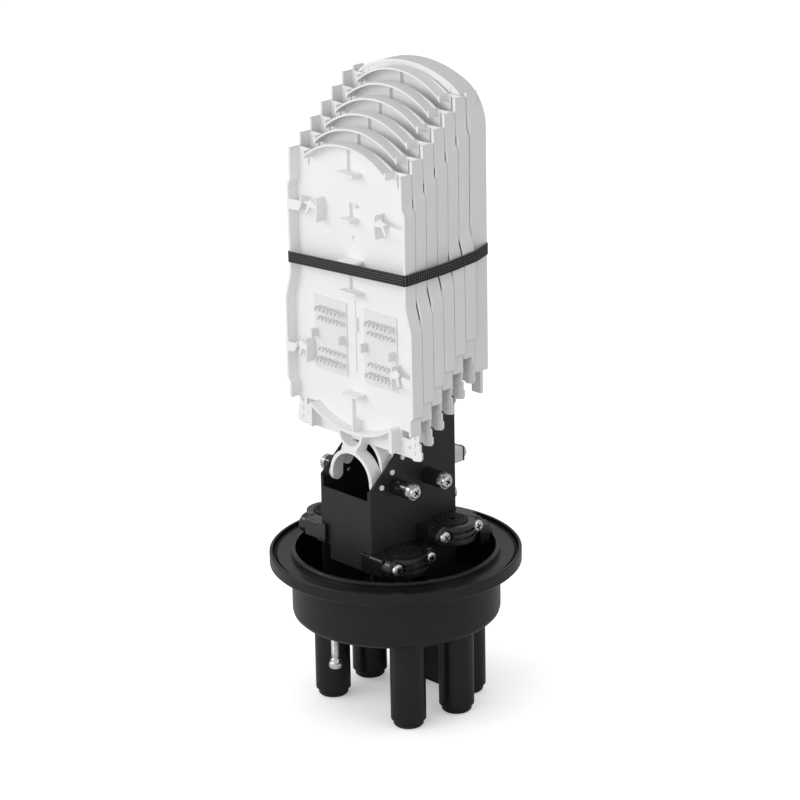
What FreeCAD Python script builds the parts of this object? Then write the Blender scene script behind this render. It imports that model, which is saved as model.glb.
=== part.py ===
import FreeCAD, Part
import math
import os

os.makedirs("parts", exist_ok=True)

# Upright dome splice closure with its cover off, in millimetres.
# Z is up, X runs along the tray width, and the trays open towards minus Y.
# The closed port ends stand on Z = 0 and the round base is centred on the Z axis.

# Running and sliding fits
PIN_CLEARANCE = 0.05
SCREW_CLEARANCE = 0.05
BOSS_GAP = 0.3
SEAL_GAP = 0.3

# Round base
FLANGE_R = 105.0
FLANGE_TOP = 136.4
FLANGE_THICK = 11.2
FLANGE_EDGE = 1.2
LIP_W = 2.5
GROOVE_W = 3.6
GROOVE_DEEP = 6.0
PLATE_DROP = 2.6
SHOULDER_W = 0.6
SHOULDER_H = 7.5
BARREL_R = 87.0
BARREL_BOTTOM = 79.5
BARREL_WALL = 3.5
BARREL_ROUND = 6.0
COLLAR_TOP = FLANGE_TOP + 2.0
BARREL_IN_R = BARREL_R - BARREL_WALL
FLOOR_TOP = BARREL_BOTTOM + BARREL_WALL
FOOT_BOSS_R = 6.0
FOOT_RIB_T = 2.4
SEAL_H = 3.4

# Cable ports
PORT_R = 14.8
PORT_WALL = 2.5
PORT_CAP_R = 12.6
PORT_CAP_H = 4.0
PORT_CAP_EDGE = 1.4
PORT_CHAMFER = 2.2
FRONT_PORT = (46.0, -32.0)
REAR_PORT = (53.0, 17.0)
OVAL_HALF = 31.0
OVAL_Y = 52.5

# Air valve through the floor of the base
VALVE_Y = 16.5 - BARREL_R
VALVE_R = 3.4
VALVE_HEX = 9.0
VALVE_HEX_H = 4.0
VALVE_ABOVE = 7.0
STEM_R = 2.6
STEM_LOW = 50.5
STEM_H = 4.0
VALVE_CAP_R = 5.4
VALVE_CAP_LOW = 49.0
VALVE_CAP_H = 8.5
VALVE_CAP_EDGE = 0.8

# Folded steel bracket
SHEET = 1.5
BEND_R = 1.4
BRACKET_HW = 30.2
WEB_Y = -55.25
BRACKET_REAR = 40.0
CORNER_TOP = 208.0
WEB_TOP = CORNER_TOP - 9.6
WEB_NOTCH_HW = 26.5
WEB_EAR_DROP = 1.5
WEB_BOTTOM = 136.0
WEB_NECK_Z = 149.0
WEB_NECK_HW = 19.5
BRACKET_FOOT_Z = 92.0
BRACKET_TOP = 270.5
RETURN_W = 12.0
FOOT_W = 15.0
FOOT_HALF = 8.0
FOOT_XY = ((22.0, -41.0), (22.0, 27.0))
WINDOW_Y = (-12.0, 8.0)
WINDOW_Z = (100.0, 128.0)
PANEL_HW = 29.5
PANEL_Z = (129.0, 268.0)
PANEL_REAR = BRACKET_REAR + SHEET
PANEL_SCREW_X = 24.0
PANEL_SCREW_Z = (180.0, 262.0)

# Trays, all alike, each one further back and higher than the one before
TRAYS = 6
STEP_Y = 11.95
STEP_Z = 10.24
EDGE_SLOPE = STEP_Z / STEP_Y
TRAY_FRONT = -48.5
TRAY_DEPTH = 11.4
TRAY_BACK = TRAY_FRONT + TRAY_DEPTH
FLOOR_T = 1.6
FLOOR_Y = TRAY_BACK - FLOOR_T
FACE_Y = FLOOR_Y + 0.5
WALL_T = 2.4
SHELF_T = 1.5
TRAY_SIDE = ((65.6, 476.5), (66.2, 450.5), (69.0, 445.5), (68.4, 370.5), (74.6, 350.0),
             (75.0, 279.8), (71.8, 276.4), (72.0, 263.3))
TAB_EDGE = ((71.4, 261.6), (71.4, 257.2), (70.4, 256.6), (70.4, 255.2), (72.4, 254.6), (72.4, 248.6),
            (73.8, 247.8), (73.8, 242.6), (72.2, 240.4), (66.4, 239.2), (64.0, 239.2), (62.6, 240.6), (51.0, 240.6))
TOP_ARC = (47.0, 473.8, 490.0)
TOP_ARC_T = 1.7
ARC_TAB = (46.4, 48.0, 470.8, 476.8)
FLOOR_ARC = (47.0, 476.0, 489.8)
SMILE = (46.0, 264.2, 251.2)
SMILE_T = 3.0
SMILE_TAB = (45.6, 49.4, 243.6, 264.4)
SMILE_ROUND = 2.6
LIPS = ((-9.4, 9.8, 465.2, 467.4), (-6.6, 5.4, 427.2, 429.6), (-9.0, 10.2, 393.0, 395.0),
        (-9.0, 10.2, 367.3, 369.5), (-9.2, 10.0, 280.2, 282.2))
RIBS = ((-5.2, 466.0, 488.0), (-3.2, 428.5, 441.0), (-5.2, 368.5, 380.5), (-4.9, 248.0, 281.0))
RIB_T = 1.4
RIB_DEEP = 2.8
FLAG = ((3.4, 441.4), (6.0, 439.8), (3.4, 438.0))
FIN = (3.0, 4.4, 250.0, 258.4, 266.0)
UPPER_HOOK = ((67.0, 433.8), (52.6, 434.6), (51.4, 432.6), (54.8, 425.8), (67.0, 425.2))
LOWER_HOOK = ((73.6, 311.3), (62.0, 311.9), (61.4, 309.6), (65.6, 303.8), (73.6, 303.2))
UPPER_STUB = (51.4, 52.8, 429.9, 436.1, 439.6)
LOWER_STUB = (61.4, 62.8, 306.0, 311.0, 313.6)
UPPER_GUIDE = (34.3, 420.3, 439.8)
LOWER_GUIDE = (50.3, 298.3, 317.6)
GUIDE_T = 1.3
GUIDE_BOW = 1.2
UPPER_STAR = ((34.3, 434.0), (41.0, 438.4), (43.0, 436.2), (49.0, 434.8), (44.4, 432.6), (47.6, 425.8),
              (45.8, 424.6), (41.4, 431.4), (34.3, 430.6))
LOWER_STAR = ((50.3, 313.0), (56.0, 316.8), (57.6, 314.6), (60.2, 313.8), (58.0, 309.8), (59.6, 303.6),
              (57.8, 302.6), (55.4, 308.8), (50.3, 308.0))
STRAP_SLIT = (51.2, 52.4, 463.0, 474.0)
EYE_R = 2.4
EYE_Z = 412.0
CENTRE_SLIT = (1.0, 299.0, 360.5)
CENTRE_HOOK = (1.0, 2.6, 335.0, 346.0)
CORNER_WINDOW = (51.0, 61.5, 256.4, 262.4)
CORNER_HOLE = (59.2, 60.8, 248.6, 250.6)
CORNER_SLITS = ((66.0, 67.2, 257.6, 260.8), (66.0, 67.2, 250.8, 254.4), (66.0, 67.2, 244.0, 247.2),
                (50.6, 51.8, 247.4, 253.4))
SLIT_DEEP = 0.8

# Hinge foot of a tray: a half ring under an arch whose two legs carry the pins
PIN_Y = TRAY_FRONT + TRAY_DEPTH / 2
PIN_Z = 208.2
PIN_R = 2.2
PIN_BOSS_R = 4.0
ARCH_R = 25.0
ARCH_T = 3.3
ARCH_Z = PIN_Z + 1.4
RING_R = 14.4
RING_T = 2.7
RING_Z = ARCH_Z + 40.2
SADDLE_HW = 9.0
SADDLE_CUT_R = 7.2
SADDLE_CUT_X = 14.6

# Splice holders clipped into each tray
HOLDER_X = 9.8
HOLDER_W = 38.4
HOLDER_Z = (293.0, 355.6)
HOLDER_T = 1.0
HOLDER_STEP = 58.7
FINS = 7
FIN_PITCH = 4.55
FIN_T = 1.3
FIN_LEAN = 0.6
FIN_ROWS = ((344.3, 3.5, 7.6, 7.0), (336.2, 2.8, 5.0, 7.2), (309.6, 2.8, 5.0, 7.2), (300.8, 3.5, 7.6, 7.0))
STOP_X = (2.0, 34.4)
STOP_W = 2.0
STOP_Z = (320.4, 327.4)
STOP_DEEP = 7.1

# Screws and posts
HEAD_R = 5.4
HEAD_H = 3.4
SHANK_R = 2.4
CLAMP_SCREW_LONG = 18.0
FOOT_SCREW_LONG = 9.0
PANEL_SCREW_LONG = 6.0
BASKET_SCREW_LONG = 4.5
ANCHOR_SCREW_LONG = 14.2
SHANK_BORE = SHANK_R + SCREW_CLEARANCE
POST_Z = 205.8
POST_Y = (-27.5, 8.3)
POST_R = 7.0
POST_END = 49.0
POST_EDGE = 0.6
CROWN_R = 7.5
CROWN_H = 5.5
CROWN_SEAT = 3.2
CROWN_BORE = 5.7
CROWN_SLOT = 1.8
NUT_ACROSS = 9.0
NUT_H = 4.6

# Cable clamps
CLAMP_H = 16.0
CLAMP_LOW = 137.5
CLAMP_HIGH = 150.5
CLAMP_FACE = 46.0
CLAMP_HALF = 26.8
CLAMP_ROUND = 2.0
CLAMP_TONGUE = 21.6
CLAMP_BAR_T = 5.0
CLAMP_EAR_T = 8.5
CLAMP_EAR_R = 8.5
CLAMP_EDGE = 1.0
CLAMP_PITCH = 37.0
FRONT_CLAMP_Y = -32.2
REAR_CLAMP_Y = 22.0
STRAP_R = 18.5
BOW_GROOVE_W = 2.6
BOW_GROOVE_Z = (4.2, 9.6)
GROMMET_X = 45.0
GROMMET_R = 13.5
GROMMET_BORE = 3.0
GROMMET_RISE = 1.0
GROMMET_DROP = 1.5
PEEL_R = (6.0, 9.5)
PEEL_W = 1.0
PEEL_DEEP = 0.8

# Clamp of the oval port
OVAL_SPLIT = 55.0
OVAL_CORE_HW = 29.8
OVAL_ARM_HW = 50.0
OVAL_ARM_Y = 50.0
OVAL_PLUG_HALF = 19.0
OVAL_PLUG_R = 10.2
OVAL_BAND_R = 14.0
OVAL_EAR_X = 42.0
OVAL_EAR_T = 9.0

# Rear storage basket
BASKET_Y0 = 23.6
BASKET_Y1 = 40.6
BASKET_HW = 70.0
BASKET_TOP = 545.5
BASKET_SHOULDER = (50.0, BASKET_TOP - 11.3)
BASKET_CORNER = (64.6, BASKET_TOP - 25.1)
BASKET_SIDE_Z = BASKET_TOP - 47.5
BASKET_BOTTOM = 299.0
BASKET_WALL = 2.2
BASKET_LUG_HW = 16.8
BASKET_LUG_Z = 246.0
BASKET_TAB = ((64.0, 300.0), (64.0, 277.0), (54.0, 277.0), (54.0, 282.0), (50.0, 300.0))
BASKET_WING = (63.6, 66.0, BASKET_SIDE_Z + 2.0, BASKET_TOP - 14.9)
BASKET_TEE = (46.4, 48.0, BASKET_TOP - 19.5, BASKET_TOP - 11.7)
BASKET_REST_DROP = (148.0, 78.0)
BASKET_REST_H = 16.0
BASKET_RIM_DEEP = 11.0
BASKET_SCREW_X = 9.0
BASKET_SCREW_Z = 257.0
HUB_R = 24.0
HUB_Z = 430.0
HUB_T = 1.8

# Strength member anchors behind the bracket
ANCHOR_X = (15.5, 28.5)
ANCHOR_Z = (206.0, 218.0)
ANCHOR_SCREW = (22.0, 212.0)
ANCHOR_T = 10.0
ANCHOR_CAP_T = 3.0

# Strap round the stack
STRAP_T = 1.2
STRAP_H = 9.6
STRAP_Y = -4.0
STRAP_Z = 392.3
STRAP_RISE_X = 0.059
STRAP_RISE_Y = 0.087
STRAP_LINE = ((68.6, TRAY_FRONT), (74.6, -13.0), (75.4, 0.0), (75.4, BASKET_Y0), (BASKET_HW + 0.4, BASKET_Y1))


def vec(x, y, z):
    return FreeCAD.Vector(x, y, z)


def block(x0, x1, y0, y1, z0, z1):
    return Part.makeBox(x1 - x0, y1 - y0, z1 - z0, vec(x0, y0, z0))


def rod_x(r, x0, x1, y, z):
    return Part.makeCylinder(r, x1 - x0, vec(x0, y, z), vec(1, 0, 0))


def rod_y(r, y0, y1, x, z):
    return Part.makeCylinder(r, y1 - y0, vec(x, y0, z), vec(0, 1, 0))


def rod_z(r, z0, z1, x, y):
    return Part.makeCylinder(r, z1 - z0, vec(x, y, z0), vec(0, 0, 1))


def slot_z(r, z0, z1, half, y):
    """Upright oval column: two half rounds joined by straight sides."""
    body = block(-half, half, y - r, y + r, z0, z1)
    return body.multiFuse([rod_z(r, z0, z1, -half, y), rod_z(r, z0, z1, half, y)]).removeSplitter()


def plate_xz(points, y0, y1):
    """Flat outline in XZ, pulled from y0 to y1."""
    ring = [vec(x, y0, z) for x, z in points]
    return Part.Face(Part.makePolygon(ring + [ring[0]])).extrude(vec(0, y1 - y0, 0))


def plate_yz(points, x0, x1):
    """Flat outline in YZ, pulled from x0 to x1."""
    ring = [vec(x0, y, z) for y, z in points]
    return Part.Face(Part.makePolygon(ring + [ring[0]])).extrude(vec(x1 - x0, 0, 0))


def turned(profile, x=0.0, y=0.0):
    """Turn a closed (radius, height) outline about the upright line through x, y."""
    ring = [vec(x + r, y, z) for r, z in profile]
    return Part.Face(Part.makePolygon(ring + [ring[0]])).revolve(vec(x, y, 0), vec(0, 0, 1), 360)


def hexagon(across):
    """Corner points of a hexagon with the given width across its flats."""
    r = across / math.sqrt(3)
    return [(r * math.cos(math.radians(60 * i + 30)), r * math.sin(math.radians(60 * i + 30))) for i in range(6)]


def joined(first, *others):
    return first.multiFuse(list(others)).removeSplitter()


def mirrored(shape):
    return shape.mirror(vec(0, 0, 0), vec(1, 0, 0))


def both_sides(shapes):
    return shapes + [mirrored(s) for s in shapes]


def moved(shape, dx, dy, dz):
    out = shape.copy()
    out.translate(vec(dx, dy, dz))
    return out


def save(name, shape):
    shape.exportStep("parts/" + name + ".step")


# Screws


def screw(length, seat, outwards):
    """Pan head screw turned in one piece, its head outside the seat point."""
    body = turned([(0, -length), (SHANK_R, -length), (SHANK_R, 0), (HEAD_R, 0), (HEAD_R, HEAD_H * 0.5),
                   (HEAD_R * 0.84, HEAD_H * 0.86), (HEAD_R * 0.5, HEAD_H), (0, HEAD_H)])
    body.Placement = FreeCAD.Placement(vec(*seat), FreeCAD.Rotation(vec(0, 0, 1), vec(*outwards)))
    return body


# Base


def round_port(x, y):
    """Closed stub: plain cylinder, chamfer and a narrower end cap."""
    shoulder = PORT_CAP_H + PORT_CHAMFER
    return turned([(0, 0), (PORT_CAP_R - PORT_CAP_EDGE, 0), (PORT_CAP_R, PORT_CAP_EDGE), (PORT_CAP_R, PORT_CAP_H),
                   (PORT_R, shoulder), (PORT_R, FLOOR_TOP), (0, FLOOR_TOP)], x, y)


def oval_port():
    tube = slot_z(PORT_R, PORT_CAP_H, FLOOR_TOP, OVAL_HALF, OVAL_Y)
    tube = tube.makeChamfer(PORT_CHAMFER, [e for e in tube.Edges if abs(e.BoundBox.ZMax - PORT_CAP_H) < 1e-6])
    cap = slot_z(PORT_CAP_R, 0, PORT_CAP_H, OVAL_HALF, OVAL_Y)
    cap = cap.makeChamfer(PORT_CAP_EDGE, [e for e in cap.Edges if abs(e.BoundBox.ZMax) < 1e-6])
    return joined(tube, cap)


def base_shell():
    lip_in = FLANGE_R - LIP_W
    groove_in = lip_in - GROOVE_W
    groove_z = FLANGE_TOP - GROOVE_DEEP
    plate_z = FLANGE_TOP - PLATE_DROP
    flange_low = FLANGE_TOP - FLANGE_THICK
    shoulder_r = BARREL_R + SHOULDER_W
    shoulder_z = flange_low - SHOULDER_H
    corner = []
    for i in range(4):
        angle = math.radians(30 * i)
        corner.append((BARREL_R - BARREL_ROUND * (1 - math.sin(angle)),
                       BARREL_BOTTOM + BARREL_ROUND * (1 - math.cos(angle))))
    outline = [(0, BARREL_BOTTOM)] + corner + [
        (BARREL_R, shoulder_z - SHOULDER_W), (shoulder_r, shoulder_z), (shoulder_r, flange_low),
        (FLANGE_R - FLANGE_EDGE, flange_low), (FLANGE_R, flange_low + FLANGE_EDGE),
        (FLANGE_R, FLANGE_TOP - FLANGE_EDGE / 2), (FLANGE_R - FLANGE_EDGE / 2, FLANGE_TOP),
        (lip_in, FLANGE_TOP), (lip_in, groove_z), (groove_in, groove_z), (groove_in, plate_z),
        (BARREL_R, plate_z), (BARREL_R, COLLAR_TOP - FLANGE_EDGE), (BARREL_R - FLANGE_EDGE, COLLAR_TOP),
        (BARREL_IN_R, COLLAR_TOP), (BARREL_IN_R, FLOOR_TOP), (0, FLOOR_TOP)]
    added = []
    cuts = []
    for side in (1, -1):
        for x, y in (FRONT_PORT, REAR_PORT):
            added.append(round_port(side * x, y))
            cuts.append(rod_z(PORT_R - PORT_WALL, PORT_CAP_H, FLOOR_TOP + 1, side * x, y))
        for x, y in FOOT_XY:
            x0, x1 = sorted((0, side * x))
            added.append(rod_z(FOOT_BOSS_R, FLOOR_TOP - 1, BRACKET_FOOT_Z, side * x, y))
            added.append(block(x0, x1, y - FOOT_RIB_T / 2, y + FOOT_RIB_T / 2, FLOOR_TOP - 1, BRACKET_FOOT_Z - 3))
            cuts.append(rod_z(SHANK_BORE, BARREL_BOTTOM + 2, BRACKET_FOOT_Z + 1, side * x, y))
    added.append(oval_port())
    cuts.append(slot_z(PORT_R - PORT_WALL, PORT_CAP_H, FLOOR_TOP + 1, OVAL_HALF, OVAL_Y))
    cuts.append(rod_z(VALVE_R + SCREW_CLEARANCE, BARREL_BOTTOM - 1, FLOOR_TOP + 1, 0, VALVE_Y))
    return joined(turned(outline), *added).cut(Part.makeCompound(cuts))


def seal_ring():
    low = FLANGE_TOP - GROOVE_DEEP
    outer = FLANGE_R - LIP_W - SEAL_GAP
    inner = FLANGE_R - LIP_W - GROOVE_W + SEAL_GAP
    slope = (outer - inner) / 3
    shoulder = low + SEAL_H - slope
    return turned([(inner, low), (outer, low), (outer, shoulder), (outer - slope, low + SEAL_H),
                   (inner + slope, low + SEAL_H), (inner, shoulder)])


def hex_column(across, z0, z1, x, y):
    ring = [vec(x + dx, y + dy, z0) for dx, dy in hexagon(across)]
    return Part.Face(Part.makePolygon(ring + [ring[0]])).extrude(vec(0, 0, z1 - z0))


def valve_parts():
    """Valve body through the base floor, its nut inside and its cap below."""
    shank_low = STEM_LOW + STEM_H
    body = joined(rod_z(VALVE_R, shank_low, FLOOR_TOP + VALVE_ABOVE, 0, VALVE_Y),
                  hex_column(VALVE_HEX, BARREL_BOTTOM - VALVE_HEX_H, BARREL_BOTTOM, 0, VALVE_Y),
                  rod_z(STEM_R, STEM_LOW, shank_low, 0, VALVE_Y))
    nut = hex_column(VALVE_HEX, FLOOR_TOP, FLOOR_TOP + VALVE_HEX_H, 0, VALVE_Y)
    nut = nut.cut(rod_z(VALVE_R + SCREW_CLEARANCE, FLOOR_TOP - 1, FLOOR_TOP + VALVE_HEX_H + 1, 0, VALVE_Y))
    low = VALVE_CAP_LOW
    high = low + VALVE_CAP_H
    edge = VALVE_CAP_R - VALVE_CAP_EDGE
    stem_bore = STEM_R + SCREW_CLEARANCE
    shank_bore = VALVE_R + SCREW_CLEARANCE
    cap = turned([(0, low), (edge, low), (VALVE_CAP_R, low + VALVE_CAP_EDGE), (VALVE_CAP_R, high - VALVE_CAP_EDGE),
                  (edge, high), (shank_bore, high), (shank_bore, shank_low - SCREW_CLEARANCE),
                  (stem_bore, shank_low - SCREW_CLEARANCE), (stem_bore, STEM_LOW - SCREW_CLEARANCE),
                  (0, STEM_LOW - SCREW_CLEARANCE)], 0, VALVE_Y)
    return body, nut, cap


# Bracket


def panel_drill():
    """Screw holes that the bracket's rear flanges and the rear panel share."""
    return [rod_y(SHANK_BORE, BRACKET_REAR - 4, PANEL_REAR + 4, s * PANEL_SCREW_X, z)
            for s in (1, -1) for z in PANEL_SCREW_Z]


def bracket_channel():
    edge = [(WEB_Y, BRACKET_FOOT_Z), (BRACKET_REAR, BRACKET_FOOT_Z), (BRACKET_REAR, BRACKET_TOP),
            (WEB_Y + (BRACKET_TOP - CORNER_TOP) / EDGE_SLOPE, BRACKET_TOP), (WEB_Y, CORNER_TOP)]
    side = plate_yz(edge, BRACKET_HW - SHEET, BRACKET_HW)
    holes = [rod_x(PIN_R + PIN_CLEARANCE, BRACKET_HW - 5, BRACKET_HW + 5, PIN_Y + i * STEP_Y, PIN_Z + i * STEP_Z)
             for i in range(TRAYS)]
    holes += [rod_x(SHANK_BORE, BRACKET_HW - 5, BRACKET_HW + 5, y, POST_Z) for y in POST_Y]
    holes.append(block(BRACKET_HW - 5, BRACKET_HW + 5, WINDOW_Y[0], WINDOW_Y[1], WINDOW_Z[0], WINDOW_Z[1]))
    side = side.cut(Part.makeCompound(holes))
    feet = [block(BRACKET_HW - FOOT_W, BRACKET_HW, y - FOOT_HALF, y + FOOT_HALF, BRACKET_FOOT_Z, BRACKET_FOOT_Z + SHEET)
            for x, y in FOOT_XY]
    back = block(BRACKET_HW - RETURN_W, BRACKET_HW, BRACKET_REAR - SHEET, BRACKET_REAR, PANEL_Z[0], BRACKET_TOP)
    half = joined(side, back, *feet)
    ear_z = CORNER_TOP - WEB_EAR_DROP
    outline = [(WEB_NECK_HW, WEB_BOTTOM), (WEB_NECK_HW, WEB_NECK_Z), (BRACKET_HW, WEB_NECK_Z),
               (BRACKET_HW, CORNER_TOP), (WEB_NOTCH_HW, ear_z), (WEB_NOTCH_HW, WEB_TOP)]
    outline += [(-x, z) for x, z in reversed(outline)]
    web = plate_xz(outline, WEB_Y, WEB_Y + SHEET)
    whole = joined(web, half, mirrored(half))
    bends = []
    for e in whole.Edges:
        box = e.BoundBox
        upright = box.XLength < 1e-6 and box.YLength < 1e-6 and box.ZLength > 10
        if upright and abs(abs(box.XMin) - BRACKET_HW) < 1e-6 and abs(box.YMin - WEB_Y) < 1e-6:
            bends.append(e)
    whole = whole.makeFillet(BEND_R, bends)
    drill = [rod_z(SHANK_BORE, BRACKET_FOOT_Z - 1, BRACKET_FOOT_Z + 3, s * x, y) for x, y in FOOT_XY for s in (1, -1)]
    return whole.cut(Part.makeCompound(drill + panel_drill()))


def rear_panel():
    plate = block(-PANEL_HW, PANEL_HW, BRACKET_REAR, PANEL_REAR, PANEL_Z[0], PANEL_Z[1])
    more = ((BASKET_SCREW_X, BASKET_SCREW_Z), ANCHOR_SCREW, (PANEL_SCREW_X, CLAMP_LOW + CLAMP_H / 2))
    drill = [rod_y(SHANK_BORE, BRACKET_REAR - 1, PANEL_REAR + 1, s * x, z) for x, z in more for s in (1, -1)]
    return plate.cut(Part.makeCompound(drill + panel_drill()))


# Posts, drawn on the right and mirrored to the left


def post_sleeve(y):
    sleeve = rod_x(POST_R, BRACKET_HW, POST_END, y, POST_Z)
    sleeve = sleeve.makeChamfer(POST_EDGE, [e for e in sleeve.Edges if abs(e.BoundBox.XMin - POST_END) < 1e-6])
    return sleeve.cut(rod_x(SHANK_BORE, BRACKET_HW - 1, POST_END + 1, y, POST_Z))


def crown_washer(y):
    """Thick washer whose outer rim is notched all round to grip a strength member."""
    ring = rod_x(CROWN_R, POST_END, POST_END + CROWN_H, y, POST_Z)
    ring = ring.cut(rod_x(SHANK_BORE, POST_END - 1, POST_END + CROWN_H + 1, y, POST_Z))
    ring = ring.cut(rod_x(CROWN_BORE, POST_END + CROWN_SEAT, POST_END + CROWN_H + 1, y, POST_Z))
    slots = []
    for i in range(3):
        slot = block(POST_END + CROWN_SEAT / 2, POST_END + CROWN_H + 1, y - CROWN_R - 1, y + CROWN_R + 1,
                     POST_Z - CROWN_SLOT / 2, POST_Z + CROWN_SLOT / 2)
        slot.rotate(vec(0, y, POST_Z), vec(1, 0, 0), 60 * i)
        slots.append(slot)
    keep = rod_x(CROWN_BORE, POST_END, POST_END + CROWN_SEAT, y, POST_Z)
    return ring.cut(Part.makeCompound(slots).cut(keep))


def post_nut(y):
    x1 = BRACKET_HW - SHEET
    nut = plate_yz([(y + dy, POST_Z + dz) for dy, dz in hexagon(NUT_ACROSS)], x1 - NUT_H, x1)
    return nut.cut(rod_x(SHANK_BORE, x1 - NUT_H - 1, x1 + 1, y, POST_Z))


# Cable clamps, drawn on the right and mirrored to the left


def clamp_drill(low, y):
    return [rod_x(SHANK_BORE, BRACKET_HW + 4, CLAMP_FACE + CLAMP_EAR_T + 1, y + s * CLAMP_PITCH / 2, low + CLAMP_H / 2)
            for s in (1, -1)]


def clamp_block(low, y, wraps):
    """Inner half of a clamp; the front ones reach round the bracket's corner."""
    body = block(BRACKET_HW, CLAMP_FACE, y - CLAMP_HALF, y + CLAMP_HALF, low, low + CLAMP_H)
    ends = [e for e in body.Edges if e.BoundBox.XLength > 10 and e.BoundBox.ZLength < 1e-6]
    body = body.makeFillet(CLAMP_ROUND, ends)
    if wraps:
        body = joined(body, block(CLAMP_TONGUE, BRACKET_HW + 1, y - CLAMP_HALF, WEB_Y, low, low + CLAMP_H))
    bore = rod_z(GROMMET_R, low - 1, low + CLAMP_H + 1, GROMMET_X, y)
    return body.cut(Part.makeCompound([bore] + clamp_drill(low, y)))


def clamp_strap(low, y):
    """Outer half of a clamp: bowed band between two round ears."""
    mid = low + CLAMP_H / 2
    face = CLAMP_FACE
    out = face + CLAMP_EAR_T
    ears = []
    for s in (1, -1):
        ear = rod_x(CLAMP_EAR_R, face, out, y + s * CLAMP_PITCH / 2, mid)
        ears.append(ear.makeChamfer(CLAMP_EDGE, [e for e in ear.Edges if abs(e.BoundBox.XMin - out) < 1e-6]))
    bar = block(face, face + CLAMP_BAR_T, y - CLAMP_PITCH / 2, y + CLAMP_PITCH / 2, low, low + CLAMP_H)
    bow = rod_z(STRAP_R, low, low + CLAMP_H, face, y)
    bow = bow.cut(block(face - STRAP_R, face, y - STRAP_R, y + STRAP_R, low, low + CLAMP_H))
    cuts = [rod_z(GROMMET_R, low - 2, low + CLAMP_H + 2, GROMMET_X, y)] + clamp_drill(low, y)
    for s in (1, -1):
        cuts.append(rod_x(HEAD_R + 0.6, out, out + 20, y + s * CLAMP_PITCH / 2, mid))
    for rise in BOW_GROOVE_Z:
        z0 = low + rise
        z1 = z0 + BOW_GROOVE_W
        groove = rod_z(STRAP_R + 2, z0, z1, face, y).cut(rod_z(STRAP_R - BOW_GROOVE_W, z0, z1, face, y))
        reach = STRAP_R * 0.7
        cuts.append(groove.common(block(face + STRAP_R / 2, face + STRAP_R + 2, y - reach, y + reach, z0, z1)))
    return joined(bar, bow, *ears).cut(Part.makeCompound(cuts))


def grommet(low, y):
    """Rubber plug with peel rings in its top face."""
    z0 = low - GROMMET_DROP
    z1 = low + CLAMP_H + GROMMET_RISE
    outline = [(GROMMET_BORE, z0), (GROMMET_R, z0), (GROMMET_R, z1)]
    for r in reversed(PEEL_R):
        half = PEEL_W / 2
        outline += [(r + half, z1), (r + half, z1 - PEEL_DEEP), (r - half, z1 - PEEL_DEEP), (r - half, z1)]
    outline.append((GROMMET_BORE, z1))
    return turned(outline, GROMMET_X, y)


def oval_clamp():
    """Clamp for the oval port: block on the rear panel, band, rubber plug and two screws."""
    low = CLAMP_LOW
    top = low + CLAMP_H
    mid = low + CLAMP_H / 2
    ear_y = OVAL_SPLIT + OVAL_EAR_T
    core = block(-OVAL_CORE_HW, OVAL_CORE_HW, PANEL_REAR, OVAL_SPLIT, low, top)
    arms = block(-OVAL_ARM_HW, OVAL_ARM_HW, OVAL_ARM_Y, OVAL_SPLIT, low, top)
    hole = slot_z(OVAL_PLUG_R, low - 2, top + 2, OVAL_PLUG_HALF, OVAL_SPLIT)
    band = slot_z(OVAL_BAND_R, low, top, OVAL_PLUG_HALF, OVAL_SPLIT)
    band = band.cut(block(-OVAL_ARM_HW, OVAL_ARM_HW, 0, OVAL_SPLIT, low - 1, top + 1))
    ears = [rod_y(CLAMP_H / 2, OVAL_SPLIT, ear_y, s * OVAL_EAR_X, mid) for s in (1, -1)]
    bar = block(-OVAL_ARM_HW, OVAL_ARM_HW, OVAL_SPLIT, OVAL_SPLIT + CLAMP_BAR_T, low, top)
    drill = [rod_y(SHANK_BORE, OVAL_SPLIT - 11, ear_y + 1, s * OVAL_EAR_X, mid) for s in (1, -1)]
    seat_drill = [rod_y(SHANK_BORE, PANEL_REAR - 1, PANEL_REAR + 8, s * PANEL_SCREW_X, mid) for s in (1, -1)]
    base = joined(core, arms).cut(Part.makeCompound([hole] + drill + seat_drill))
    band = joined(band, bar, *ears).cut(Part.makeCompound([hole] + drill))
    plug = slot_z(OVAL_PLUG_R, low - GROMMET_DROP, top + GROMMET_RISE, OVAL_PLUG_HALF, OVAL_SPLIT)
    bores = [rod_z(GROMMET_BORE, low - 3, top + 3, s * OVAL_PLUG_HALF, OVAL_SPLIT) for s in (1, -1)]
    screws = [screw(13.5, (s * OVAL_EAR_X, ear_y, mid), (0, 1, 0)) for s in (1, -1)]
    return base, band, plug.cut(Part.makeCompound(bores)), screws


# Trays


def arc_xz(half, z_end, z_mid, y):
    return Part.Arc(vec(-half, y, z_end), vec(0, y, z_mid), vec(half, y, z_end)).toShape()


def arc_strip(arc, thick, y0, y1):
    """Bowed strip below an arc given as (half width, end height, middle height)."""
    half, z_end, z_mid = arc
    edges = [arc_xz(half, z_end, z_mid, y0), arc_xz(half, z_end - thick, z_mid - thick, y0)]
    edges += [Part.makeLine(vec(s * half, y0, z_end), vec(s * half, y0, z_end - thick)) for s in (1, -1)]
    return Part.Face(Part.Wire(Part.__sortEdges__(edges))).extrude(vec(0, y1 - y0, 0))


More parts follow.
